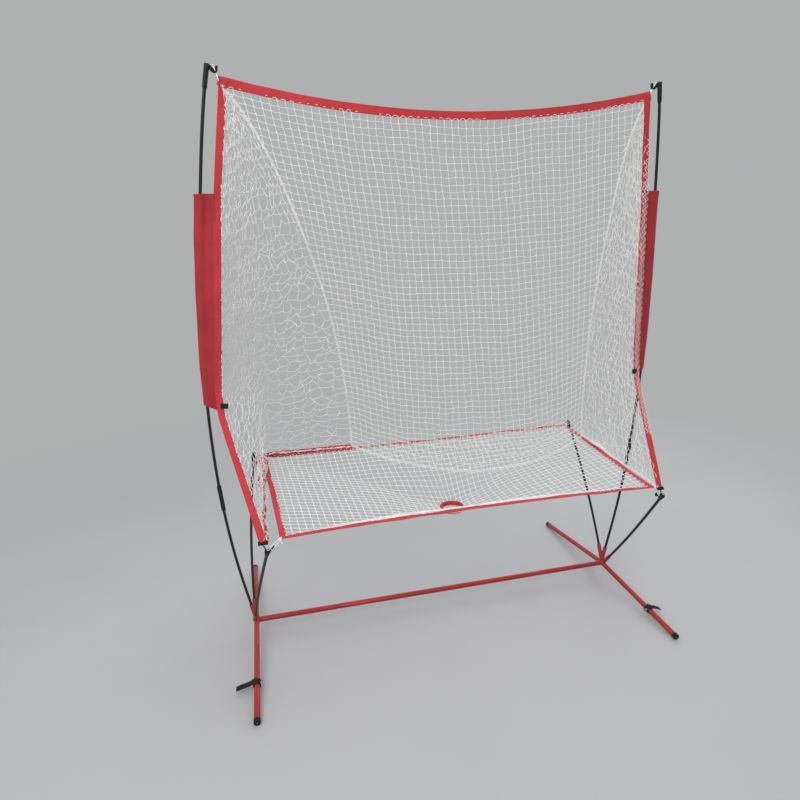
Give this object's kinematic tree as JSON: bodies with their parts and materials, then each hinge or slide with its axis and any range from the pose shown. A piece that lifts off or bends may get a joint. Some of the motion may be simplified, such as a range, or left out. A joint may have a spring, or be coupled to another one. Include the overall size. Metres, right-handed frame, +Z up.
{
  "type": "pitching target net",
  "caption": "Free-standing pitching target net: steel base, bent side bows holding a pocket net, and a low tray net with a ball drop ring.",
  "frame": {"origin": "on the ground, at the middle of the net's overall width and length", "axes": "+X to the thrower's right, +Y away from the thrower, +Z up"},
  "size_m": [1.8836, 1.1152, 2.162],
  "materials": {
    "red_steel": "semi-gloss powder coat",
    "black_fibreglass": "satin",
    "black_ferrule": "satin",
    "black_plastic": "matte, moulded",
    "red_fabric": "coated polyester weave",
    "white_netting": "knotless polyester twine",
    "white_elastic": "braided elastic",
    "black_webbing": "woven webbing",
    "zinc": "plated"
  },
  "bodies": {
    "frame": {"crossbar": "red_steel", "left_hub": "red_steel", "right_hub": "red_steel", "left_bow_lower": "black_fibreglass", "left_bow_ferrule": "black_ferrule", "left_bow_upper": "black_fibreglass", "left_top_hook": "black_plastic", "right_bow_lower": "black_fibreglass", "right_bow_ferrule": "black_ferrule", "right_bow_upper": "black_fibreglass", "right_top_hook": "black_plastic", "left_front_tray_pole": "black_fibreglass", "left_front_tray_hook": "black_plastic", "left_front_tray_loop": "white_elastic", "left_rear_tray_pole": "black_fibreglass", "left_rear_tray_hook": "black_plastic", "left_rear_tray_loop": "white_elastic", "right_front_tray_pole": "black_fibreglass", "right_front_tray_hook": "black_plastic", "right_front_tray_loop": "white_elastic", "right_rear_tray_pole": "black_fibreglass", "right_rear_tray_hook": "black_plastic", "right_rear_tray_loop": "white_elastic", "left_top_loop": "white_elastic", "left_side_binding": "red_fabric", "left_bow_sleeve": "red_fabric", "left_side_netting": "white_netting", "left_sleeve_tab": "black_webbing", "left_corner_webbing": "black_webbing", "left_corner_cord": "black_webbing", "right_top_loop": "white_elastic", "right_side_binding": "red_fabric", "right_bow_sleeve": "red_fabric", "right_side_netting": "white_netting", "right_sleeve_tab": "black_webbing", "right_corner_webbing": "black_webbing", "right_corner_cord": "black_webbing", "top_binding": "red_fabric", "back_netting": "white_netting", "tray_binding": "red_fabric", "tray_netting": "white_netting", "drop_ring": "red_fabric"},
    "left_front_leg_assembly": {"left_front_leg": "red_steel", "left_front_leg_cap": "black_plastic"},
    "left_rear_leg_assembly": {"left_rear_leg": "red_steel", "left_rear_leg_cap": "black_plastic"},
    "left_strap_assembly": {"left_leg_strap": "black_webbing", "left_strap_elastic": "black_webbing", "left_strap_rivet": "zinc"},
    "right_front_leg_assembly": {"right_front_leg": "red_steel", "right_front_leg_cap": "black_plastic"},
    "right_rear_leg_assembly": {"right_rear_leg": "red_steel", "right_rear_leg_cap": "black_plastic"},
    "right_strap_assembly": {"right_leg_strap": "black_webbing", "right_strap_elastic": "black_webbing", "right_strap_rivet": "zinc"}
  },
  "joints": [
    {"name": "left_front_leg_pull", "type": "slide", "parent": "frame", "child": "left_front_leg_assembly", "axis": [-0.013, -0.9946, -0.103], "range_m": [0, 0.055]},
    {"name": "left_rear_leg_pull", "type": "slide", "parent": "frame", "child": "left_rear_leg_assembly", "axis": [-0.0156, 0.9953, -0.0961], "range_m": [0, 0.055]},
    {"name": "left_strap_slide", "type": "slide", "parent": "left_front_leg_assembly", "child": "left_strap_assembly", "axis": [-0.013, -0.9946, -0.103], "range_m": [-0.14, 0.12]},
    {"name": "right_front_leg_pull", "type": "slide", "parent": "frame", "child": "right_front_leg_assembly", "axis": [0.013, -0.9946, -0.103], "range_m": [0, 0.055]},
    {"name": "right_rear_leg_pull", "type": "slide", "parent": "frame", "child": "right_rear_leg_assembly", "axis": [0.0156, 0.9953, -0.0961], "range_m": [0, 0.055]},
    {"name": "right_strap_slide", "type": "slide", "parent": "right_front_leg_assembly", "child": "right_strap_assembly", "axis": [0.013, -0.9946, -0.103], "range_m": [-0.14, 0.12]}
  ]
}
